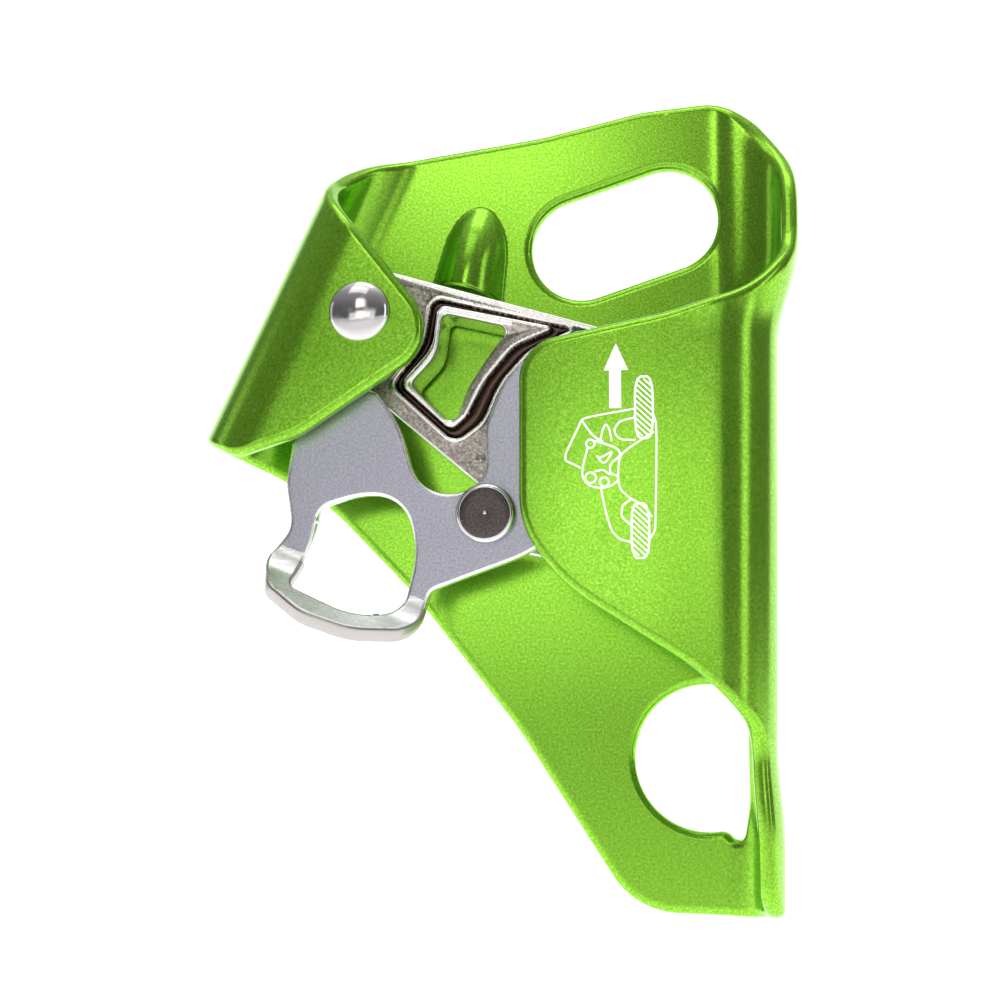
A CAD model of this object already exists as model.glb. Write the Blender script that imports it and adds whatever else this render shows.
"""Chest ascender: the looks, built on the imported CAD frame.

The pieces are drawn in millimetres, in the sketch that part.scad is drawn in. place() turns
them into metres about the harness hole, which is the origin of the frame. The stage, the lights
and the camera are in metres from the start.
"""
import math

import bpy
import numpy as np
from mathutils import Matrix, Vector
from mathutils.geometry import delaunay_2d_cdt


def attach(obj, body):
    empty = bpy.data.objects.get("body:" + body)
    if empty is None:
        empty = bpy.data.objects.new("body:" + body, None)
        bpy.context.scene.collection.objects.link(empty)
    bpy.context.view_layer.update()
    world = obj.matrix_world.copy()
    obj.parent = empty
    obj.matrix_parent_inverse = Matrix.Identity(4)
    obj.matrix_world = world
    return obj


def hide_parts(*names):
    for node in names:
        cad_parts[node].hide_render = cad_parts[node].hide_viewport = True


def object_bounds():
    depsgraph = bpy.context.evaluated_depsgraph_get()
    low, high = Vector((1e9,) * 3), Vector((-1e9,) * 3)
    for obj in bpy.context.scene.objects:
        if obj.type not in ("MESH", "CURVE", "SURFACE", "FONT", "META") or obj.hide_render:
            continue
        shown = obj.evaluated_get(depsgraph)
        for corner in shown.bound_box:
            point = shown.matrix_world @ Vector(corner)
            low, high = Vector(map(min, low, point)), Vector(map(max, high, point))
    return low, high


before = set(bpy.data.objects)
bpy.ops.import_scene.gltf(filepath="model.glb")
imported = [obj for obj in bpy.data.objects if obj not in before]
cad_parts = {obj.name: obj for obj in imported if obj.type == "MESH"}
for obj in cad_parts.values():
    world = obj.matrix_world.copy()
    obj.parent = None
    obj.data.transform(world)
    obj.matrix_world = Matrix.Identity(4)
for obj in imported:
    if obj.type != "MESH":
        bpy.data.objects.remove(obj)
cad_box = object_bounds()

# ---- driving sizes ----
HOLE = (31.6, -39.6)          # harness hole in the sketch, the origin of the frame
HOLE_R = 11.0
SHEET = 2.8                   # folded sheet
GAP = 14.0                    # clear depth under the flaps
BEND_R = GAP / 2 + SHEET / 2  # both bends, on the middle of the sheet
BEND_LEN = math.pi * BEND_R
BEND_Y = -GAP / 2
BEND_X = 33.2                 # where the rope channel starts to bend
FOLD_DEG = 25.0               # lean of the left fold
FOLD_AT = 34.4                # its distance from the middle of the sketch
STOP_X = 11.0                 # the pressed stop, along the cam's top edge from the axle
STOP_LEN = 15.0
STOP_HIGH = 4.6               # how far it is pressed out
STOP_HALF = 5.7               # half its width at the square end
STOP_TAPER = 1.5              # how much of that it loses towards the tip
FLAP_FACE = -GAP - SHEET      # front of both flaps
FLAP_SAG = 1.1                # the channel flap is not quite flat: its free edge dips
FLAP_WIDE = 28.0

AXLE = (-18.8, 26.6)
AXLE_R = 4.0
BUSH_R = 5.5
PIN = (-0.3, -3.6)
PIN_FRONT = -14.35

TOP_DEG = 16.6                # fall of the cam's top edge
BOSS_R = 8.4
FACE_MID = (3.2, 7.0)         # centre of the toothed face
FACE_R = 30
CAM_FRONT = -9.6              # crests of the cam
WEB_FRONT = -9.0              # its cast skin, between them
CAM_REAR = -1.0
CORE_Y = -6.4                 # floor of the pocket in its back
GROOVE_DEEP = 1.5
LIP_FALL = 1.3                # how far the lip round the window falls towards it
RIDGE_WIDE = 0.45
BAR_WIDE = 1.0                # bright bar along the top edge
BAR_SOFT = 0.3                # its rounded lower side

PLATE = 2.5                   # catch plate
PLATE_MID = -9.9 - PLATE / 2
LIP_R = 5.5 + PLATE / 2
LIP_DEG = 53.0
LIP_LINE = (-19.7, -12.1)     # a point on the bend line of the lip
LIP_TILT = 21.3
LIP_START = 0.3               # from here past the bend line the lip is brushed
WORN_START = 2.0              # from here its end is worn

FOLD_OUT = np.array([-math.cos(math.radians(FOLD_DEG)), math.sin(math.radians(FOLD_DEG))])
FOLD_UP = np.array([math.sin(math.radians(FOLD_DEG)), math.cos(math.radians(FOLD_DEG))])
TILT = math.radians(LIP_TILT)
LIP_OUT = np.array([-math.sin(TILT), -math.cos(TILT)])
LIP_ARC = LIP_R * math.radians(LIP_DEG)


# ---- outlines ----
def smoothstep(x, low, high):
    """0 below low, 1 above high and smooth between."""
    t = np.clip((x - low) / (high - low), 0.0, 1.0)
    return t * t * (3.0 - 2.0 * t)


def soft(points, step=0.6):
    """A closed outline from corners [x, z, corner radius], sampled about every step."""
    corners = []
    count = len(points)
    for i, (x, z, r) in enumerate(points):
        here = np.array([x, z], float)
        if r <= 0:
            corners.append(here)
            continue
        before = np.array(points[i - 1][:2], float) - here
        after = np.array(points[(i + 1) % count][:2], float) - here
        before /= np.linalg.norm(before)
        after /= np.linalg.norm(after)
        half = math.acos(np.clip(before @ after, -1, 1)) / 2
        middle = before + after
        centre = here + middle / np.linalg.norm(middle) * r / math.sin(half)
        start = here + before * r / math.tan(half) - centre
        end = here + after * r / math.tan(half) - centre
        turn = math.pi - 2 * half
        steps = max(3, int(math.ceil(r * turn / step)))
        for k in range(steps + 1):
            w = k / steps
            way = (start * math.sin((1 - w) * turn) + end * math.sin(w * turn)) / math.sin(turn)
            corners.append(centre + way)
    return resample(np.array(corners), step)


def resample(points, step):
    """The same closed outline with long straights cut up and doubled points dropped."""
    out = []
    count = len(points)
    for i in range(count):
        a = points[i]
        b = points[(i + 1) % count]
        length = np.linalg.norm(b - a)
        if length < 1e-3:
            continue
        parts = max(1, int(round(length / step)))
        for k in range(parts):
            out.append(a + (b - a) * k / parts)
    out = np.array(out)
    keep = [0]
    for i in range(1, len(out)):
        if np.linalg.norm(out[i] - out[keep[-1]]) > 0.25 * step:
            keep.append(i)
    return out[keep]


def area(loop):
    """Positive when the outline runs anticlockwise."""
    x, z = loop[:, 0], loop[:, 1]
    return 0.5 * np.sum(x * np.roll(z, -1) - np.roll(x, -1) * z)


def inset(loop, distance):
    """The outline moved inwards (a negative distance moves it outwards)."""
    ahead = np.roll(loop, -1, 0) - loop
    behind = loop - np.roll(loop, 1, 0)
    ahead /= np.linalg.norm(ahead, axis=1)[:, None]
    behind /= np.linalg.norm(behind, axis=1)[:, None]
    way = ahead + behind
    way /= np.linalg.norm(way, axis=1)[:, None]
    side = np.stack([-way[:, 1], way[:, 0]], 1) * np.sign(area(loop))
    bend = np.clip(np.sum(way * ahead, 1), 0.6, 1.0)
    return loop + side * (distance / bend)[:, None]


def inside(points, loop):
    """Which points lie inside a closed outline."""
    x, z = points[:, 0][:, None], points[:, 1][:, None]
    x0, z0 = loop[:, 0][None], loop[:, 1][None]
    x1, z1 = np.roll(loop[:, 0], -1)[None], np.roll(loop[:, 1], -1)[None]
    crosses = (z0 > z) != (z1 > z)
    rise = np.where(z1 == z0, 1e-12, z1 - z0)
    return (np.sum(crosses & (x < (x1 - x0) * (z - z0) / rise + x0), 1) % 2) == 1


def distance(points, loop):
    """Distance to a closed outline, negative inside it."""
    a = loop
    b = np.roll(loop, -1, 0)
    best = np.full(len(points), 1e9)
    ab = b - a
    size = np.maximum(np.sum(ab * ab, 1), 1e-12)
    for i in range(len(a)):
        t = np.clip(((points - a[i]) @ ab[i]) / size[i], 0, 1)
        gap = points - a[i] - t[:, None] * ab[i]
        best = np.minimum(best, np.sum(gap * gap, 1))
    best = np.sqrt(best)
    return np.where(inside(points, loop), -best, best)


# ---- meshes ----
def place(points):
    """Sketch millimetres to metres in the frame."""
    points = np.asarray(points, float)
    return (points - np.array([HOLE[0], 0.0, HOLE[1]])) / 1000.0


def new_object(name, points, faces, zones=None, sharp=False):
    """A mesh object from points in metres; zones are the material slots of its faces."""
    mesh = bpy.data.meshes.new(name)
    mesh.from_pydata([tuple(p) for p in points], [], [tuple(f) for f in faces])
    mesh.polygons.foreach_set("use_smooth", [not sharp] * len(mesh.polygons))
    if zones is not None:
        mesh.polygons.foreach_set("material_index", zones)
    mesh.validate()
    mesh.update()
    obj = bpy.data.objects.new(name, mesh)
    bpy.context.scene.collection.objects.link(obj)
    return obj


def grid(outline, gap):
    """Points gap apart in staggered rows, over the whole box of an outline."""
    low, high = outline.min(0), outline.max(0)
    row_gap = gap * 0.866
    rows = []
    z = low[1]
    odd = False
    while z < high[1]:
        x = np.arange(low[0] + (gap / 2 if odd else 0), high[0], gap)
        rows.append(np.stack([x, np.full(len(x), z)], 1))
        z += row_gap
        odd = not odd
    return np.vstack(rows)


def covered(points, outline, holes):
    """Which points lie on the plate: inside its outline and in none of its holes."""
    keep = inside(points, outline)
    for hole in holes:
        keep &= ~inside(points, hole)
    return keep


def clearance(points, fixed):
    """Distance from each point to the nearest fixed one, taken in batches to save memory."""
    batch = 400
    near = np.full(len(points), 1e9)
    for start in range(0, len(fixed), batch):
        part = fixed[start:start + batch]
        gaps = np.linalg.norm(points[:, None] - part[None], axis=2)
        near = np.minimum(near, gaps.min(1))
    return near


def closed_edges(loops):
    """Edges round each loop, with the points numbered one loop after the other."""
    edges = []
    at = 0
    for loop in loops:
        count = len(loop)
        edges += [(at + i, at + (i + 1) % count) for i in range(count)]
        at += count
    return edges


def fill(outline, holes, spacing, extra=None, marks=()):
    """Triangles inside outline and outside holes, with an even grid of inner points.

    extra is (test, spacing): a zone that takes a finer grid. marks are outlines that the
    triangles follow.
    """
    loops = [outline] + list(holes)
    fixed = np.vstack(loops + list(marks))
    coarse = grid(outline, spacing)
    groups = [(coarse, spacing)]
    if extra:
        test, fine = extra
        small = grid(outline, fine)
        groups = [(coarse[~test(coarse)], spacing), (small[test(small)], fine)]
    inner = []
    for points, gap in groups:
        points = points[covered(points, outline, holes)]
        inner.append(points[clearance(points, fixed) > 0.6 * gap])
    points = np.vstack([fixed] + inner)
    edges = closed_edges(loops + list(marks))
    made = delaunay_2d_cdt([Vector(p) for p in points], edges, [], 0, 1e-6)
    flat = np.array([tuple(v) for v in made[0]])
    faces = np.array([f for f in made[2] if len(f) == 3])
    faces = faces[covered(flat[faces].mean(1), outline, holes)]
    turn = np.cross(flat[faces[:, 1]] - flat[faces[:, 0]], flat[faces[:, 2]] - flat[faces[:, 0]])
    faces[turn < 0] = faces[turn < 0][:, ::-1]
    source = {}
    for index, came in enumerate(made[3]):
        for original in came:
            source[original] = index
    rims = []
    at = 0
    for loop in loops:
        rims.append([source[at + i] for i in range(len(loop))])
        at += len(loop)
    return flat, faces, rims


def quads(chain):
    """Faces between neighbouring closed rings of point numbers."""
    faces = []
    for a, b in zip(chain[:-1], chain[1:]):
        for i in range(len(a)):
            j = (i + 1) % len(a)
            faces.append((a[j], a[i], b[i], b[j]))
    return faces


def slab(name, outline, holes, surface, edge, spacing, rows=4, extra=None, marks=(), zone=None,
         rim_zone=None):
    """A plate with rounded edges. surface(points, side, depth) gives its place in 3-D:
    side -1 is the front and 1 the back, depth is how far below that face. zone and rim_zone
    give the material slots of the faces and of the rims."""
    rim_strip = 0.25
    plain_rim = 1 if zone else 0
    if area(outline) < 0:
        outline = outline[::-1]
    holes = [h if area(h) < 0 else h[::-1] for h in holes]
    rims = [outline] + list(holes)

    def moved(loop, d):
        return inset(loop, d) if loop is outline else inset(loop, -d)

    inner = [moved(loop, edge) for loop in rims]
    strips = [moved(loop, edge + rim_strip) for loop in rims]
    flat, faces, borders = fill(inner[0], inner[1:], spacing, extra, list(marks) + strips)
    count = len(flat)
    points = [surface(flat, side, np.zeros(count)) for side in (-1, 1)]
    polygons = [tuple(f) for f in faces]
    polygons += [tuple(int(v) + count for v in f[::-1]) for f in faces]
    kinds = [0] * (2 * len(faces))
    if zone:
        middle = flat[faces].mean(1)
        kinds = list(zone(middle, -1)) + list(zone(middle, 1))
    total = 2 * count
    for loop, border in zip(rims, borders):
        size = len(loop)
        chain = [[int(v) for v in border]]
        for side, turns in ((-1, range(1, rows + 1)), (1, range(rows, 0, -1))):
            for k in turns:
                angle = math.pi / 2 * k / rows
                ring = moved(loop, edge * (1 - math.sin(angle)))
                depth = np.full(size, edge * (1 - math.cos(angle)))
                points.append(surface(ring, side, depth))
                chain.append(list(range(total, total + size)))
                total += size
        chain.append([int(v) + count for v in border])
        polygons += quads(chain)
        slots = [rim_zone(point) if rim_zone else plain_rim for point in loop]
        kinds += slots * (len(chain) - 1)
    return new_object(name, place(np.vstack(points)), polygons, kinds)


def turned(name, at, profile, segments=64):
    """A part turned about the Y axis: profile is [radius, y], from front middle to back."""
    points = []
    faces = []
    for r, y in profile:
        for k in range(segments):
            a = 2 * math.pi * k / segments
            points.append([at[0] + r * math.cos(a), y, at[1] + r * math.sin(a)])
    for i in range(len(profile) - 1):
        for k in range(segments):
            j = (k + 1) % segments
            a, b = i * segments, (i + 1) * segments
            faces.append((a + k, a + j, b + j, b + k))
    faces.append(tuple(range(segments))[::-1])
    last = (len(profile) - 1) * segments
    faces.append(tuple(range(last, last + segments)))
    return new_object(name, place(points), faces)


def rounded(profile, radius, steps=4):
    """Rounds the corners of a [radius, y] profile."""
    out = [profile[0]]
    for i in range(1, len(profile) - 1):
        p = np.array(profile[i], float)
        a = np.array(profile[i - 1], float) - p
        b = np.array(profile[i + 1], float) - p
        r = min(radius, np.linalg.norm(a) * 0.45, np.linalg.norm(b) * 0.45)
        a = p + a / np.linalg.norm(a) * r
        b = p + b / np.linalg.norm(b) * r
        for k in range(steps + 1):
            w = k / steps
            out.append(tuple((1 - w) ** 2 * a + 2 * w * (1 - w) * p + w * w * b))
    out.append(profile[-1])
    return out


def tube(name, path, radius, sides=12):
    """A wire along a path of 3-D points."""
    path = np.array(path, float)
    ahead = np.gradient(path, axis=0)
    ahead /= np.linalg.norm(ahead, axis=1)[:, None]
    points = []
    faces = []
    side = np.cross(ahead[0], [0.3, 0.2, 0.9])
    for i, p in enumerate(path):
        side = side - ahead[i] * (side @ ahead[i])
        side /= np.linalg.norm(side)
        up = np.cross(ahead[i], side)
        for k in range(sides):
            a = 2 * math.pi * k / sides
            points.append(p + radius * (math.cos(a) * side + math.sin(a) * up))
    for i in range(len(path) - 1):
        for k in range(sides):
            j = (k + 1) % sides
            faces.append((i * sides + k, i * sides + j, (i + 1) * sides + j, (i + 1) * sides + k))
    faces.append(tuple(range(sides))[::-1])
    faces.append(tuple(range((len(path) - 1) * sides, len(path) * sides)))
    return new_object(name, place(points), faces)


# ---- the folded sheet ----
def fold_point(w, t):
    """A point of the left wing in the flat pattern: w past the bend line, t along it."""
    return list(FOLD_OUT * (FOLD_AT + w) + FOLD_UP * t)


def flap_u(x):
    """Where a point of the channel flap lies in the flat pattern."""
    return BEND_X + BEND_LEN + (BEND_X - x)


def frame_outline():
    """The folded sheet in the flat: from the top left, right round the channel and back."""
    def wing(w, t, r):
        return fold_point(w, t) + [r]

    return soft([
        [6.6, 57.9, 60], [22.5, 61.4, 25],
        [37.4, 62.6, 9], [46.2, 46.8, 18], [48.0, 37.4, 12], [54.2, 28.9, 12], [66.0, 25.4, 40],
        [flap_u(4.9), 21.3, 6.5], [flap_u(4.9), -5.5, 14], [flap_u(10.8), -14.1, 30],
        [flap_u(30.6), -26.8, 20], [52.2, -36.6, 8], [52.4, -48.0, 60], [51.6, -61.9, 5],
        [38.0, -63.0, 40],
        [20.4, -62.4, 12], [2.6, -35.0, 60], [-13.5, -14.6, 60], [-27.5, -0.2, 30],
        wing(1.2, -11.2, 6), wing(24.6, -11.2, 5), wing(31.8, -4.7, 12),
        wing(45.8, 17.8, 7), wing(19.5, 31.2, 20), wing(13.6, 34.6, 20), wing(7.0, 40.6, 30),
    ], 0.7)


def harness_hole():
    """Round in the plate; in the bend it is cut off straight, with a small relief below."""
    loop = [[HOLE[0] + HOLE_R * math.cos(a), HOLE[1] + HOLE_R * math.sin(a), 0]
            for a in np.linspace(math.radians(62), math.radians(277), 70)]
    return soft(loop + [[34.3, -50.3, 2], [35.5, -51.6, 0.9], [37.2, -51.6, 1.0],
                        [38.5, -46.0, 12], [38.6, -30.6, 3]], 0.6)


def strap_slot():
    r = 8.0
    return soft([[3.0, 44.7, r], [7.9, 29.4, r - 0.1], [36.2, 38.5, r], [31.3, 53.8, r - 0.1]], 0.7)


def stop_frame(points):
    """Across and along the pressed stop, from the middle of its square end."""
    a = math.radians(TOP_DEG)
    x = points[:, 0] - AXLE[0]
    z = points[:, 1] - AXLE[1]
    across = x * math.cos(a) - z * math.sin(a) - STOP_X
    along = x * math.sin(a) + z * math.cos(a) - (BOSS_R + 0.3)
    return across, along


def stop_height(points):
    """How far the thumb-shaped stop is pressed towards the front."""
    shift = 0.5
    lean = 0.1
    fullness = 2.2
    tip_fullness = 2.6
    foot = 1.6
    across, along = stop_frame(points)
    across = across - shift + lean * along
    share = np.clip(along / STOP_LEN, 0, 1)
    cap = np.clip((share - 0.5) / 0.5, 0, 1)
    half = (STOP_HALF - STOP_TAPER * share) * np.sqrt(np.clip(1 - cap ** fullness, 0, 1)) + 1e-6
    dome = 1 - np.clip(np.abs(across) / half, 0, 1) ** fullness
    tip = 1 - share ** tip_fullness
    return STOP_HIGH * dome * tip * smoothstep(along, 0, foot)


def flare(v):
    """Extra radius of the channel at a height v: it tapers down, with a mouth at each end."""
    return (-0.15 + 0.018 * (v - 12) + 3.0 * smoothstep(v, 22, 37)
            + 1.1 * smoothstep(-v, 38, 52))


def frame_surface(points, side, depth):
    """The flat pattern folded up."""
    u, v = points[:, 0], points[:, 1]
    off = side * (SHEET / 2 - depth)
    out = np.empty((len(points), 3))
    # back plate, with the pressed stop
    out[:, 0] = u
    out[:, 1] = SHEET / 2 + off - stop_height(points)
    out[:, 2] = v
    # rope channel
    w = u - BEND_X
    angle = np.clip(w / BEND_R, 0, math.pi)
    beyond = np.maximum(w - BEND_LEN, 0)
    part = smoothstep(angle, 0.35, 1.35) * (1 - 0.8 * smoothstep(angle, 2.0, 3.14))
    part = np.where(beyond > 0, 0.2 * (1 - smoothstep(beyond, 0, 9)), part)
    reach = BEND_R + off + part * flare(v)
    sag = FLAP_SAG * (beyond / FLAP_WIDE) ** 2
    right = w > 0
    out[right, 0] = (BEND_X + reach * np.sin(angle) - beyond)[right]
    out[right, 1] = (BEND_Y + reach * np.cos(angle) + sag)[right]
    # left fold
    s = points @ FOLD_OUT
    t = points @ FOLD_UP
    w = s - FOLD_AT
    angle = np.clip(w / BEND_R, 0, math.pi)
    beyond = np.maximum(w - BEND_LEN, 0)
    reach = BEND_R + off
    across = FOLD_AT + reach * np.sin(angle) - beyond
    spot = across[:, None] * FOLD_OUT[None] + t[:, None] * FOLD_UP[None]
    left = w > 0
    out[left, 0] = spot[left, 0]
    out[left, 1] = (BEND_Y + reach * np.cos(angle))[left]
    out[left, 2] = spot[left, 1]
    return out


def drilled(at, r, count=48):
    """Outline of a round hole."""
    return np.array([[at[0] + r * math.cos(2 * math.pi * k / count),
                      at[1] + r * math.sin(2 * math.pi * k / count)] for k in range(count)])


def near_stop(points):
    """The zone of the pressed stop, which takes a finer grid."""
    margin = 1.2
    across, along = stop_frame(points)
    return (np.abs(across) < 7.5) & (along > -margin) & (along < STOP_LEN + margin)


def build_frame():
    return slab("frame_shell", frame_outline(), [harness_hole(), strap_slot()],
                frame_surface, edge=1.15, spacing=1.15, rows=5, extra=(near_stop, 0.36))


# ---- catch ----
def past_bend(points):
    """How far points lie past the bend line of the lip."""
    return (points - np.array(LIP_LINE)) @ LIP_OUT


def unbend(outline):
    """Outline as seen from the front to flat pattern: the lip is foreshortened."""
    seen = past_bend(outline)
    rise = math.radians(LIP_DEG)
    edge = LIP_R * math.sin(rise)
    flat = np.where(seen < edge, LIP_R * np.arcsin(np.clip(seen / LIP_R, 0, math.sin(rise))),
                    LIP_ARC + (seen - edge) / math.cos(rise))
    flat = np.where(seen < 0, seen, flat)
    return outline + (flat - seen)[:, None] * LIP_OUT


def catch_surface(points, side, depth):
    """The flat pattern of the catch with its lip bent to the front."""
    off = side * (PLATE / 2 - depth)
    full = math.radians(LIP_DEG)
    q = past_bend(points)
    out = np.empty((len(points), 3))
    angle = np.clip(q / LIP_R, 0, full)
    beyond = np.maximum(q - LIP_ARC, 0)
    reach = LIP_R + off
    centre = PLATE_MID - LIP_R
    along = np.where(q > 0, reach * np.sin(angle) + beyond * math.cos(full), q)
    y = np.where(q > 0, centre + reach * np.cos(angle) - beyond * math.sin(full), PLATE_MID + off)
    spot = points + (along - q)[:, None] * LIP_OUT
    out[:, 0] = spot[:, 0]
    out[:, 1] = y
    out[:, 2] = spot[:, 1]
    return out


def catch_zone(middle, side):
    """0 blasted plate, 2 brushed lip, the same on both sides."""
    return np.where(past_bend(middle) > LIP_START, 2, 0).tolist()


def near_bend(points):
    """A narrow zone with a finer grid, so that the brushed lip starts on a clean line."""
    return np.abs(past_bend(points) - LIP_START) < 1.0


def catch_rim(point):
    """1 polished cut edge, 3 the duller end of the lip."""
    return 3 if past_bend(point) > WORN_START else 1


def build_catch():
    outline = soft([
        [-30.0, 8.2, 1.5], [-30.9, 1.5, 8], [-29.9, -5.2, 4], [-34.1, -10.4, 3.5],
        [-32.8, -14.8, 3], [-27.0, -19.2, 12], [-19.5, -21.8, 14], [-10.6, -21.9, 4],
        [-8.8, -14.9, 2.2], [7.5, -9.1, 20], [12.6, -4, 6], [12.6, 14, 10],
        [8.8, 22.4, 3], [2.4, 17.2, 14], [-0.6, 9.5, 7], [-0.2, 1.0, 4.4],
        [-10.2, -2.0, 6.2], [-13.4, 9.4, 14], [-17.0, 15.2, 3], [-20.6, 16.4, 2.5]], 0.5)
    finger = soft([
        [-26.0, -2.2, 3.4], [-19.5, -0.4, 14], [-12.8, -0.6, 6], [-10.6, -9.0, 14],
        [-13.2, -19.2, 5], [-20.0, -19.5, 14], [-30.0, -14.8, 1.5], [-26.4, -6.6, 14]], 0.5)
    return slab("catch_plate", unbend(outline), [unbend(finger), drilled(PIN, 2.55)],
                catch_surface, edge=0.45, spacing=0.9, rows=3, extra=(near_bend, 0.26),
                zone=catch_zone, rim_zone=catch_rim)


# ---- cam ----
def arc(at, r, angles):
    """Points on a circle, angles in radians."""
    return [(at[0] + r * math.cos(a), at[1] + r * math.sin(a)) for a in angles]


def cam_outline():
    top = math.radians(TOP_DEG)
    face = arc(FACE_MID, FACE_R, np.radians(np.linspace(27.2, -32.8, 21)))
    boss = arc(AXLE, BOSS_R, np.linspace(math.radians(233), math.radians(90) - top, 18))
    pin = arc(PIN, 5, np.radians(np.linspace(285, 108, 14)))
    return resample(np.array(boss + face + [(24.0, -13.2)] + pin), 0.45)


def cam_window():
    return soft([
        [-7.6, 27.7, 1.0], [2.6, 25.2, 0.9], [-0.2, 21.6, 12], [-3.9, 15.8, 10],
        [-5.2, 11.3, 1.2], [-7.0, 11.2, 0.9], [-12.6, 16.8, 1.2], [-8.4, 21.2, 6]], 0.3)


# outer edge of the lip round the window, outer edge of the groove round that, pocket in the back
LIP_BAND = soft([
    [-8.2, 29.0, 1.2], [9.9, 24.9, 0.4], [3.4, 22.4, 6], [-1.2, 17.0, 14],
    [-3.8, 11.8, 4], [-6.2, 9.7, 1.2], [-14.0, 16.9, 1.4], [-9.0, 22.4, 6]], 0.3)
GROOVE = soft([
    [-9.2, 30.3, 1.6], [13.0, 24.7, 0.5], [6.0, 21.9, 10], [1.2, 16.6, 12],
    [-1.2, 10.8, 6], [-5.6, 7.6, 2.2], [-15.6, 16.7, 1.6], [-10.6, 22.8, 7]], 0.3)
CORE = soft([
    [5.5, 23.4, 2], [25.5, 17.4, 3], [29.4, 7.4, 20], [25.0, -7.0, 3],
    [20.5, -9.2, 3], [6.6, -4.6, 2], [3.6, 9.6, 8]], 0.6)


def top_offset(points):
    """Distance below the cam's straight top edge."""
    a = math.radians(TOP_DEG)
    x = points[:, 0] - AXLE[0]
    z = points[:, 1] - AXLE[1]
    return BOSS_R - (x * math.sin(a) + z * math.cos(a))


def cam_height(points):
    """Front face of the cam: lip round the window, groove, thin ridge, then the cast web."""
    lip = distance(points, LIP_BAND)
    groove = distance(points, GROOVE)
    bar = top_offset(points)
    crest = CAM_FRONT - WEB_FRONT
    y = WEB_FRONT + crest * smoothstep(-groove, -0.75, -0.4)
    into_groove = np.clip(-groove, 0, None)
    across = into_groove + np.clip(lip, 0, None)
    share = np.clip(into_groove / np.maximum(across, 0.2), 0, 1)
    hollow = np.clip(4 * share * (1 - share), 0, 1) ** 0.55
    y = y + np.where((groove < 0) & (lip > 0), GROOVE_DEEP * hollow, 0)
    y = y + LIP_FALL * smoothstep(-lip, 0.5, 2.7)
    bar_y = WEB_FRONT + crest * smoothstep(-bar, -BAR_WIDE - BAR_SOFT, -BAR_WIDE)
    return np.where(bar < BAR_WIDE + BAR_SOFT, np.minimum(y, bar_y), y)


def cam_surface(points, side, depth):
    """Front face of the cam, or its flat back with the cored pocket."""
    out = np.empty((len(points), 3))
    out[:, 0] = points[:, 0]
    out[:, 2] = points[:, 1]
    if side < 0:
        out[:, 1] = cam_height(points) + depth
    else:
        core = distance(points, CORE)
        pocket = smoothstep(-core, -0.1, 0.5)
        out[:, 1] = CAM_REAR - depth + (CORE_Y - CAM_REAR) * pocket
    return out


def cam_zone(middle, side):
    """0 cast skin, 1 polished crests, 2 the dark groove."""
    if side > 0:
        return [0] * len(middle)
    narrow = 0.4
    wide = 1.0
    groove_edge = 0.12
    lip = distance(middle, LIP_BAND)
    groove = distance(middle, GROOVE)
    bright = (top_offset(middle) < BAR_WIDE) | ((groove > 0) & (groove < RIDGE_WIDE))
    # the polish on the lip is narrow at the window's right and lower right, wide elsewhere
    x, z = middle[:, 0], middle[:, 1]
    rough_side = (x > -4.4 + 0.42 * (z - 12)) & ((z < 25.5 - 0.276 * x) | (x > 3.2))
    bright |= (lip < 0) & (lip > np.where(rough_side, -narrow, -wide))
    dark = (groove < -groove_edge) & (lip > groove_edge) & ~bright
    return np.where(dark, 2, np.where(bright, 1, 0)).tolist()


def cam_detail(points):
    """The part of the cam with the window and the bands, which takes a finer grid."""
    return (points[:, 0] < 17) & (points[:, 1] > 1.5)


def build_cam():
    return slab("cam_body", cam_outline(), [cam_window(), drilled(AXLE, BUSH_R, 40)],
                cam_surface, edge=0.3, spacing=1.0, rows=3, extra=(cam_detail, 0.27),
                marks=[LIP_BAND, GROOVE, inset(GROOVE, -RIDGE_WIDE)], zone=cam_zone)


def build_boss():
    """The cam's collar round its bearing sleeve."""
    return ring("cam_boss", AXLE, BUSH_R, BUSH_R + 1.1, -GAP + 1.0, WEB_FRONT + 1.0, 0.4)


def add_tooth(points, faces, a, y):
    """One tooth at the angle a of the toothed face: three rings of (radius, height, lean)."""
    sides = 10
    root_r = 29.7
    out = np.array([math.cos(a), 0, math.sin(a)])
    down = np.array([math.sin(a), 0, -math.cos(a)])
    across = np.array([0, 1.0, 0])
    base = np.array([FACE_MID[0], y, FACE_MID[1]]) + out * root_r
    start = len(points)
    for r, h, lean in ((1.3, 0, 0), (0.75, 0.9, 0.05), (0.22, 1.6, 0.2)):
        for k in range(sides):
            b = 2 * math.pi * k / sides
            points.append(base + out * h + down * (lean + r * math.cos(b))
                          + across * r * math.sin(b))
    for layer in range(2):
        for k in range(sides):
            n = (k + 1) % sides
            p = start + layer * sides
            faces.append((p + k, p + n, p + sides + n, p + sides + k))
    faces.append(tuple(start + 2 * sides + k for k in range(sides)))
    faces.append(tuple(start + k for k in range(sides))[::-1])


def build_teeth():
    """Rows of small pointed teeth, leaning down the rope."""
    points = []
    faces = []
    for i in range(13):
        for j in range(3):
            a = math.radians(22.5 - i * 4.3 - (j % 2) * 2.1)
            add_tooth(points, faces, a, -2.5 - j * 2.6)
    return new_object("cam_teeth", place(points), faces)


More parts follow.
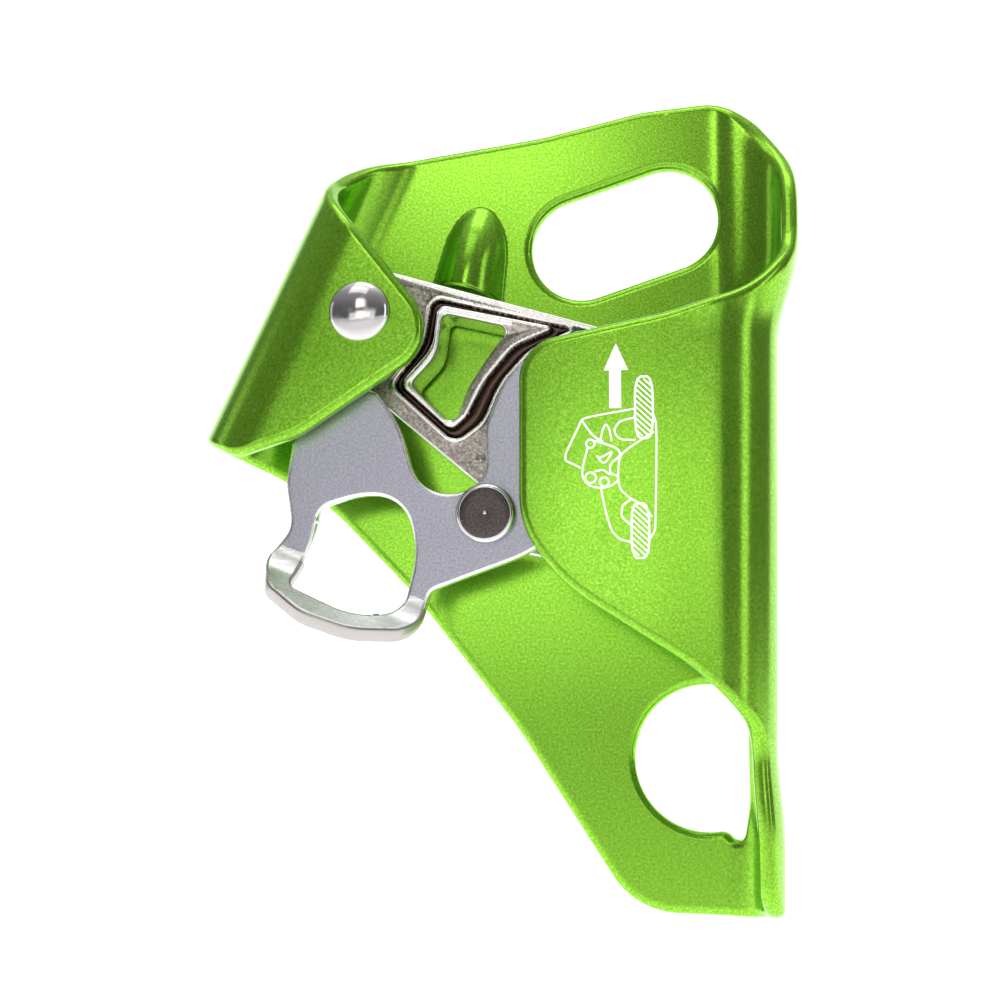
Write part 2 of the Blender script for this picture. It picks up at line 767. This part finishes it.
def build_pips():
    """Round witness marks of the casting's ejector pins."""
    marks = []
    top = WEB_FRONT - 0.1
    for n, at in enumerate(((-10.1, 30.6), (7.2, 26.3), (-1.7, 5.3))):
        profile = [(0.01, top + 0.05), (0.45, top + 0.05), (0.52, top - 0.12), (0.66, top - 0.14),
                   (0.78, top), (0.84, WEB_FRONT + 0.2)]
        marks.append(turned("cam_pip_%d" % (n + 1), at, profile, 28))
    return marks


# ---- turned parts ----
def build_rivet():
    """Axle with its domed head."""
    base = FLAP_FACE
    head_r = 4.62
    head_rise = 1.75
    dome = [(head_r * math.sin(a), base - 0.35 - head_rise * math.cos(a))
            for a in np.linspace(0.002, math.pi / 2, 16)]
    profile = dome + [(head_r, base - 0.05), (4.3, base), (AXLE_R, base),
                      (AXLE_R, SHEET + 0.6), (AXLE_R - 0.3, SHEET + 0.9), (0.01, SHEET + 1.0)]
    return turned("axle_rivet", AXLE, profile, 72)


def build_collar():
    return ring("axle_collar_ring", AXLE, AXLE_R, 5.4, SHEET, SHEET + 1.1, 0.35)


def ring(name, at, inner, outer, front, back, edge=0.15):
    """A washer or sleeve with rounded edges."""
    profile = [(inner, front), (outer, front), (outer, back), (inner, back), (inner, front)]
    return turned(name, at, rounded(profile, edge))


def build_pin():
    """Dark flat head with a bright chamfer and a small centre mark."""
    front = PIN_FRONT
    face = turned("catch_pin_face", PIN, [
        (0.01, front + 0.06), (0.25, front + 0.05), (0.42, front), (2.6, front - 0.03),
        (3.65, front + 0.02), (3.78, front + 0.1), (3.78, front + 0.5)], 72)
    rim = turned("catch_pin_rim", PIN, [
        (3.74, front + 0.45), (3.76, front + 0.08), (3.86, front + 0.04), (4.3, front + 0.4),
        (4.45, front + 0.75), (4.45, front + 1.5), (4.3, front + 1.62), (2.5, front + 1.62),
        (2.5, CAM_REAR), (0.01, CAM_REAR)], 72)
    mark = turned("catch_pin_mark", PIN, [
        (0.01, front - 0.06), (0.2, front - 0.04), (0.34, front + 0.08)], 20)
    return face, rim, mark


def coil(name, at, r, turns, pitch, start, leg, wire):
    """A torsion spring: a straight leg of the length leg, then the coils."""
    leg_steps = 6
    turn_steps = 36
    path = [[at[0] - r, start + leg * (1 - k / leg_steps), at[1]] for k in range(leg_steps)]
    for k in range(turns * turn_steps + 1):
        a = math.pi + 2 * math.pi * k / turn_steps
        y = start - pitch * k / turn_steps
        path.append([at[0] + r * math.cos(a), y, at[1] + r * math.sin(a)])
    return tube(name, path, wire / 2)


# ---- the printed pictogram on the flap ----
def flap_front(x):
    """Y of the channel flap's front face."""
    return FLAP_FACE + FLAP_SAG * (max(BEND_X - x, 0) / FLAP_WIDE) ** 2


class Ink:
    """Flat white shapes a hair above the flap."""

    def __init__(self):
        self.points = []
        self.faces = []

    def polygon(self, corners):
        start = len(self.points)
        self.points += [(x, z) for x, z in corners]
        self.faces.append(tuple(range(start, start + len(corners))))

    def line(self, corners, width=0.3, closed=False):
        corners = [np.array(c, float) for c in corners]
        pairs = list(zip(corners[:-1], corners[1:]))
        if closed:
            pairs.append((corners[-1], corners[0]))
        for a, b in pairs:
            way = (b - a) / np.linalg.norm(b - a)
            side = np.array([-way[1], way[0]]) * width / 2
            self.polygon([a - side, b - side, b + side, a + side])
        for c in corners:
            self.disc(c, width / 2, 10)

    def disc(self, at, r, count=24):
        self.polygon([(at[0] + r * math.cos(2 * math.pi * k / count),
                       at[1] + r * math.sin(2 * math.pi * k / count)) for k in range(count)])

    def ring(self, at, r, width=0.28):
        self.line(arc(at, r, np.linspace(0, 2 * math.pi, 25)[:-1]), width, True)

    def curve(self, corners, width=0.27, closed=False):
        """A line with its corners cut twice, so that it bends softly."""
        spots = [np.array(c, float) for c in corners]
        for _ in range(2):
            pairs = list(zip(spots[:-1], spots[1:]))
            if closed:
                pairs.append((spots[-1], spots[0]))
            cut = [p for a, b in pairs for p in (0.8 * a + 0.2 * b, 0.2 * a + 0.8 * b)]
            spots = cut if closed else [spots[0]] + cut + [spots[-1]]
        self.line(spots, width, closed)

    def done(self, name):
        """All strokes merged into one flat shape."""
        lift = 0.02
        flat = [Vector(p) for p in self.points]
        made = delaunay_2d_cdt(flat, [], self.faces, 1, 1e-5)
        points = [[p[0], flap_front(p[0]) - lift, p[1]] for p in made[0]]
        faces = [f for f, came in zip(made[2], made[5]) if came]
        return new_object(name, place(points), faces, sharp=True)


def hatch(ink, left, right, low, high, width, step):
    """Sloping stripes between two upright lines, cut off at the ends."""
    slope = 0.95
    shortest = 0.3
    z = low
    while z < high + (right - left):
        xa, za = left, z
        xb, zb = right, z - (right - left) * slope
        if za > high:
            xa, za = xa + (za - high) / slope, high
        if zb < low:
            xb, zb = xb - (low - zb) / slope, low
        if xb - xa > shortest:
            ink.line([(xa, za), (xb, zb)], width)
        z += step


def build_pictogram():
    """How to use it: an arrow up the rope, and the device with its rope drawn small."""
    ink = Ink()
    ink.polygon([(19.4, 20.75), (17.6, 16.75), (18.4, 16.75), (18.4, 11.15), (20.15, 11.15),
                 (20.15, 16.75), (21.2, 16.75)])
    # rope, above and below the cam
    for left, right, low, high in ((22.15, 24.75, 6.6, 15.7), (21.5, 24.05, -10.8, -2.9)):
        ink.curve([(left, low), (left, high), (right, high), (right, low)], 0.3, True)
        hatch(ink, left + 0.1, right - 0.1, low + 0.4, high - 0.4, 0.24, 0.86)
    # outline of the frame, its left fold, its right side and the rope channel
    ink.curve([(22.2, 11.0), (15.5, 10.0), (14.3, 9.6), (13.8, 8.4), (11.5, 3.8), (13.2, 3.0),
               (14.1, 2.5)])
    ink.curve([(14.4, 9.4), (15.9, 7.2), (17.4, 6.2)])
    ink.curve([(24.8, 10.1), (25.3, 8.4), (25.0, -4.8), (24.9, -6.9), (24.2, -8.0)])
    ink.curve([(24.8, 7.5), (20.8, 5.0), (19.8, 3.9), (19.6, 1.2), (19.8, -0.7), (21.4, -2.2),
               (23.5, -3.3), (24.4, -4.8)])
    ink.curve([(17.1, -0.6), (17.8, -4.2), (18.6, -6.8), (19.8, -8.1), (21.5, -8.5)])
    # stop, strap slot and harness hole
    ink.curve([(17.1, 6.5), (17.4, 8.1), (17.9, 8.9), (18.4, 8.1), (18.7, 6.4)])
    ink.curve([(22.1, 9.7), (19.8, 9.2), (19.0, 7.8), (19.8, 6.5), (22.1, 6.4)])
    ink.curve([(21.4, -2.3), (20.2, -3.1), (20.0, -4.8), (21.5, -6.1)])
    # axle, catch pin, cam and catch
    ink.ring((15.6, 6.0), 0.62)
    ink.ring((17.6, 0.35), 0.66)
    ink.ring((15.6, 1.0), 0.78)
    ink.curve([(16.3, 6.4), (19.5, 5.3), (20.1, 4.2), (18.5, 3.0), (18.4, 1.6), (19.5, 1.2)], 0.3)
    ink.curve([(17.0, 3.8), (19.0, 5.0), (17.6, 2.8), (16.4, 4.3)], 0.26, True)
    ink.curve([(15.2, 5.4), (14.6, 3.3), (14.3, 1.3), (15.3, -0.2), (17.4, -0.6), (18.7, -0.2),
               (19.5, 0.4)])
    ink.curve([(16.3, 1.9), (17.4, 2.2), (18.4, 1.4)])
    return ink.done("pictogram")


# ---- materials ----
def grey(v):
    return (v, v, v)


def ramp(nodes, links, source, stops):
    """A colour ramp over source: stops are (value, colour)."""
    node = nodes.new("ShaderNodeValToRGB")
    band = node.color_ramp
    while len(band.elements) > len(stops):
        band.elements.remove(band.elements[-1])
    while len(band.elements) < len(stops):
        band.elements.new(1.0)
    for element, (at, colour) in zip(band.elements, stops):
        element.position = at
        element.color = (*colour, 1)
    links.new(source, node.inputs["Fac"])
    return node


class Look:
    """A procedural material: patterns drive its colour, its gloss and its relief."""

    def __init__(self, name, base, metallic, roughness):
        self.mat = bpy.data.materials.new(name)
        self.mat.use_nodes = True
        self.nodes = self.mat.node_tree.nodes
        self.links = self.mat.node_tree.links
        self.shader = self.nodes["Principled BSDF"]
        self.shader.inputs["Base Color"].default_value = (*base, 1)
        self.shader.inputs["Metallic"].default_value = metallic
        self.shader.inputs["Roughness"].default_value = roughness

    def noise(self, scale, detail=2.0, rough=0.5):
        """Noise in the piece's own space, so that it moves with the piece."""
        spot = self.nodes.new("ShaderNodeTexCoord")
        tex = self.nodes.new("ShaderNodeTexNoise")
        tex.inputs["Scale"].default_value = scale
        tex.inputs["Detail"].default_value = detail
        tex.inputs["Roughness"].default_value = rough
        self.links.new(spot.outputs["Object"], tex.inputs["Vector"])
        return tex.outputs["Fac"]

    def brushing(self, turn, scales):
        """Noise drawn out into lines: turn is about the Y axis, scales are for X, Y and Z."""
        spot = self.nodes.new("ShaderNodeTexCoord")
        stretch = self.nodes.new("ShaderNodeMapping")
        stretch.inputs["Rotation"].default_value = (0, turn, 0)
        stretch.inputs["Scale"].default_value = scales
        tex = self.nodes.new("ShaderNodeTexNoise")
        tex.inputs["Scale"].default_value = 1.0
        tex.inputs["Detail"].default_value = 3.0
        self.links.new(spot.outputs["Object"], stretch.inputs["Vector"])
        self.links.new(stretch.outputs["Vector"], tex.inputs["Vector"])
        return tex.outputs["Fac"]

    def tint(self, source, stops):
        """Base colour by source: stops are (value, colour)."""
        node = ramp(self.nodes, self.links, source, stops)
        self.links.new(node.outputs["Color"], self.shader.inputs["Base Color"])

    def gloss(self, source, stops):
        """Roughness by source: stops are (value, roughness)."""
        node = ramp(self.nodes, self.links, source, [(at, grey(rough)) for at, rough in stops])
        self.links.new(node.outputs["Color"], self.shader.inputs["Roughness"])

    def relief(self, source, height, strength):
        """Bumps by source, height in metres."""
        node = self.nodes.new("ShaderNodeBump")
        node.inputs["Strength"].default_value = strength
        node.inputs["Distance"].default_value = height
        self.links.new(source, node.inputs["Height"])
        self.links.new(node.outputs["Normal"], self.shader.inputs["Normal"])


def green_lacquer():
    """Satin metallic lacquer: fine bright flake over a deep green."""
    look = Look("green_lacquer", (0.24, 0.58, 0.03), 0.85, 0.2)
    flake = look.noise(2700, 2.0, 0.7)
    cloud = look.noise(60, 3.0)
    look.tint(flake, [
        (0.28, (0.165, 0.47, 0.020)), (0.5, (0.26, 0.60, 0.040)), (0.72, (0.40, 0.73, 0.09))])
    look.gloss(cloud, [(0.3, 0.19), (0.7, 0.225)])
    look.relief(flake, 0.000008, 0.4)
    return look.mat


def blasted():
    """Bead-blasted aluminium plate."""
    look = Look("blasted_aluminium", (0.60, 0.61, 0.66), 0.85, 0.45)
    grain = look.noise(2900, 2.0, 0.7)
    cloud = look.noise(130, 3.0)
    look.tint(grain, [
        (0.3, (0.36, 0.36, 0.43)), (0.5, (0.46, 0.46, 0.54)), (0.72, (0.60, 0.60, 0.67))])
    look.gloss(cloud, [(0.3, 0.33), (0.7, 0.39)])
    look.relief(grain, 0.00004, 0.6)
    return look.mat


def bright_cut():
    """Polished cut edges."""
    look = Look("bright_cut_edge", (0.93, 0.93, 0.95), 1.0, 0.25)
    line = look.noise(900, 2.0)
    look.gloss(line, [(0.3, 0.22), (0.7, 0.32)])
    look.relief(line, 0.00001, 0.3)
    return look.mat


def brushed_lip():
    """The worn, brushed finger lip: fine lines along the bend."""
    look = Look("brushed_lip", (0.93, 0.93, 0.95), 0.75, 0.3)
    lines = look.brushing(math.radians(-LIP_TILT), (120, 1500, 1900))
    look.tint(lines, [(0.3, grey(0.84)), (0.65, grey(0.97))])
    look.gloss(lines, [(0.3, 0.36), (0.7, 0.22)])
    look.relief(lines, 0.00002, 0.5)
    return look.mat


def cast_plated():
    """Plated casting: pitted skin, darker in the pits."""
    look = Look("plated_casting", (0.55, 0.50, 0.46), 1.0, 0.34)
    pits = look.noise(2600, 4.0, 0.7)
    cloud = look.noise(420, 2.0)
    look.tint(pits, [
        (0.32, (0.20, 0.165, 0.145)), (0.5, (0.46, 0.41, 0.375)), (0.68, (0.80, 0.76, 0.72))])
    look.gloss(cloud, [(0.3, 0.26), (0.7, 0.44)])
    look.relief(pits, 0.0001, 0.7)
    return look.mat


def polished(name, base, rough, wave=700):
    """Bright metal, very slightly uneven."""
    look = Look(name, base, 1.0, rough)
    soft_wave = look.noise(wave, 2.0)
    look.gloss(soft_wave, [(0.3, max(0.02, rough - 0.05)), (0.7, rough + 0.08)])
    look.relief(soft_wave, 0.00002, 0.35)
    return look.mat


def dark_face():
    """Pin head: dark flat face with fine turned marks."""
    look = Look("dark_pin_face", (0.13, 0.115, 0.11), 0.9, 0.4)
    marks = look.noise(3200, 3.0, 0.6)
    look.tint(marks, [
        (0.3, (0.07, 0.06, 0.056)), (0.55, (0.12, 0.105, 0.10)), (0.8, (0.21, 0.19, 0.18))])
    look.relief(marks, 0.00002, 0.5)
    return look.mat


def white_ink():
    """Printed ink; it glows a little so that it stays white on the lacquer."""
    look = Look("white_ink", (0.93, 0.96, 0.90), 0.0, 0.5)
    wear = look.noise(1800, 2.0)
    look.tint(wear, [(0.28, (0.78, 0.88, 0.70)), (0.45, (0.95, 0.97, 0.93))])
    look.shader.inputs["Emission Color"].default_value = (1, 1, 1, 1)
    look.shader.inputs["Emission Strength"].default_value = 0.45
    return look.mat


def bronze():
    """Bearing bronze, out of sight in the cam."""
    look = Look("bearing_bronze", (0.60, 0.42, 0.18), 1.0, 0.35)
    tone = look.noise(500, 3.0)
    look.tint(tone, [(0.3, (0.48, 0.32, 0.13)), (0.7, (0.70, 0.50, 0.24))])
    look.relief(tone, 0.00002, 0.4)
    return look.mat


def pale_floor():
    """Matt white that glows more from the front backwards, so the background is clean."""
    look = Look("pale_floor", (0.96, 0.96, 0.96), 0.0, 0.8)
    look.shader.inputs["Emission Color"].default_value = (1, 1, 1, 1)
    spot = look.nodes.new("ShaderNodeTexCoord")
    split = look.nodes.new("ShaderNodeSeparateXYZ")
    glow = look.nodes.new("ShaderNodeMapRange")
    glow.inputs["From Min"].default_value = -0.30
    glow.inputs["From Max"].default_value = 0.0
    glow.inputs["To Min"].default_value = 0.12
    glow.inputs["To Max"].default_value = 0.85
    look.links.new(spot.outputs["Object"], split.inputs["Vector"])
    look.links.new(split.outputs["Y"], glow.inputs["Value"])
    look.links.new(glow.outputs["Result"], look.shader.inputs["Emission Strength"])
    return look.mat


def dress(obj, *mats):
    """Puts the materials in the object's slots, in the order that its zones count them."""
    for mat in mats:
        obj.data.materials.append(mat)


# ---- put it together ----
green = green_lacquer()
blast = blasted()
cut = bright_cut()
lip = brushed_lip()
cast = cast_plated()
chrome = polished("polished_steel", (0.72, 0.70, 0.71), 0.13)
plain = polished("plain_steel", (0.62, 0.62, 0.63), 0.28)
worn = polished("worn_end", (0.50, 0.47, 0.46), 0.34, 1200)
wire = polished("spring_wire", (0.42, 0.42, 0.44), 0.25)
bright = polished("polished_casting", (0.92, 0.90, 0.88), 0.24, 900)
dark = dark_face()
sooty = polished("groove_skin", (0.11, 0.075, 0.062), 0.24, 1500)
ink = white_ink()

shell = build_frame()
dress(shell, green)
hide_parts("frame")
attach(shell, "frame")

picture = build_pictogram()
dress(picture, ink)
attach(picture, "frame")

rivet = build_rivet()
dress(rivet, chrome)
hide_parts("cam_axle")
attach(rivet, "frame")

collar = build_collar()
dress(collar, plain)
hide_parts("axle_collar")
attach(collar, "frame")

for name, outer, front, back in (("front_washer", 6.4, -GAP, -GAP + 0.7),
                                 ("rear_washer", 5.4, -0.7, 0)):
    part = ring(name + "_ring", AXLE, AXLE_R, outer, front, back)
    dress(part, plain)
    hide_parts(name)
    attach(part, "frame")

spring = coil("cam_spring_wire", AXLE, r=6.5, turns=3, pitch=1.2, start=-1.7, leg=2.9, wire=1.0)
dress(spring, wire)
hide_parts("cam_spring")
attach(spring, "frame")

cam = build_cam()
dress(cam, cast, bright, sooty)
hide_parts("cam")
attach(cam, "cam")
bright_parts = [(build_boss(), bright), (build_teeth(), bright)]
for part, mat in bright_parts + [(pip, cast) for pip in build_pips()]:
    dress(part, mat)
    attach(part, "cam")

bush = ring("cam_bushing_ring", AXLE, AXLE_R + 0.05, BUSH_R, -13.0, CAM_REAR)
dress(bush, bronze())
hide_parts("cam_bushing")
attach(bush, "cam")

face, rim, mark = build_pin()
dress(face, dark)
dress(rim, chrome)
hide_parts("catch_pin")
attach(rim, "cam")
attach(face, "cam")
dress(mark, bright)
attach(mark, "cam")

spacer = ring("catch_washer_ring", PIN, 2.52, 4.9, CAM_FRONT, WEB_FRONT, 0.1)
dress(spacer, plain)
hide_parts("catch_washer")
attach(spacer, "cam")

small = coil("catch_spring_wire", PIN, r=3.5, turns=3, pitch=0.85, start=-6.0, leg=1.6, wire=0.7)
dress(small, wire)
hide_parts("catch_spring")
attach(small, "cam")

catch = build_catch()
dress(catch, blast, cut, lip, worn)
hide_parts("catch")
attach(catch, "catch")


# ---- stage, in metres ----
AIM = (-0.02, 0, 0.04)
WARM = (1.0, 0.97, 0.88)


def build_floor():
    """A floor swept up into a wall behind the part."""
    size = 6.0
    drop = cad_box[0][2] - 0.03
    back = 3.0
    sweep = 0.8
    steps = 12
    rows = []
    for k in range(steps + 1):
        a = math.pi / 2 * k / steps
        rows.append((back + sweep * math.sin(a), drop + sweep * (1 - math.cos(a))))
    rows = [(-size, drop)] + rows + [(back + sweep, drop + size)]
    points = []
    for y, z in rows:
        points += [(-size, y, z), (size, y, z)]
    faces = [(2 * i, 2 * i + 1, 2 * i + 3, 2 * i + 2) for i in range(len(rows) - 1)]
    floor = new_object("floor", points, faces)
    dress(floor, pale_floor())


def area_light(name, at, size, power, colour=(1, 1, 1)):
    """A lamp of size (width, height) aimed at the part."""
    data = bpy.data.lights.new(name, "AREA")
    data.shape = "RECTANGLE"
    data.size, data.size_y = size
    data.energy = power
    data.color = colour
    obj = bpy.data.objects.new(name, data)
    bpy.context.scene.collection.objects.link(obj)
    obj.location = at
    obj.rotation_euler = (Vector(AIM) - Vector(at)).to_track_quat("-Z", "Y").to_euler()


def around(azimuth, elevation, reach=0.9):
    """A point on a sphere round the part, front is azimuth 0."""
    a, e = math.radians(azimuth), math.radians(elevation)
    return (AIM[0] + reach * math.sin(a) * math.cos(e), -reach * math.cos(a) * math.cos(e),
            AIM[2] + reach * math.sin(e))


def build_world():
    """Plain grey surroundings, brightest overhead."""
    world = bpy.data.worlds.new("studio")
    bpy.context.scene.world = world
    world.use_nodes = True
    nodes, links = world.node_tree.nodes, world.node_tree.links
    back = nodes["Background"]
    spot = nodes.new("ShaderNodeTexCoord")
    split = nodes.new("ShaderNodeSeparateXYZ")
    links.new(spot.outputs["Generated"], split.inputs["Vector"])
    rise = nodes.new("ShaderNodeMath")
    rise.operation = "MULTIPLY_ADD"
    rise.inputs[1].default_value = 0.5
    rise.inputs[2].default_value = 0.5
    links.new(split.outputs["Z"], rise.inputs[0])
    shade = ramp(nodes, links, rise.outputs["Value"], [
        (0.0, grey(0.25)), (0.45, grey(0.6)), (0.65, grey(0.7)), (0.86, grey(1.8)),
        (0.97, grey(4.5))])
    links.new(shade.outputs["Color"], back.inputs["Color"])
    back.inputs["Strength"].default_value = 0.18


def build_camera():
    """The view: a little from the right and from below, quite close."""
    target = place([[0.0, 0.0, 0.0]])[0]
    azimuth, elevation, reach = math.radians(8.0), math.radians(-7.0), 0.287
    way = Vector((math.sin(azimuth) * math.cos(elevation),
                  -math.cos(azimuth) * math.cos(elevation), math.sin(elevation)))
    data = bpy.data.cameras.new("camera")
    data.sensor_width = 36.0
    data.lens = 66.6
    data.clip_start = 0.01
    obj = bpy.data.objects.new("camera", data)
    bpy.context.scene.collection.objects.link(obj)
    obj.location = Vector(target) + way * reach
    obj.rotation_euler = (-way).to_track_quat("-Z", "Y").to_euler()
    bpy.context.scene.camera = obj


build_floor()
build_world()
build_camera()
area_light("key", (0.0, -0.90, 0.13), (0.17, 0.16), 0.124, WARM)
area_light("key_left", (-0.17, -0.90, 0.13), (0.17, 0.16), 0.17)
area_light("key_high", (-0.17, -0.90, 0.42), (0.19, 0.20), 0.33, WARM)
area_light("fill_left", (-0.34, -0.90, 0.10), (0.17, 0.16), 0.07)
area_light("fill_right", (0.17, -0.90, 0.12), (0.17, 0.24), 0.10)
area_light("side_right", around(62, 12), (0.20, 0.5), 0.45)
area_light("side_left", around(-85, 12), (0.25, 0.5), 0.24)
area_light("top", around(-10, 80), (0.5, 0.35), 0.9)
area_light("top_front", around(-18, 52, 0.8), (0.40, 0.30), 0.35)
area_light("back_left", around(-150, 30), (0.4, 0.4), 0.16)
area_light("back_right", around(150, 20), (0.4, 0.4), 0.12)
bpy.context.scene.view_settings.view_transform = "Standard"
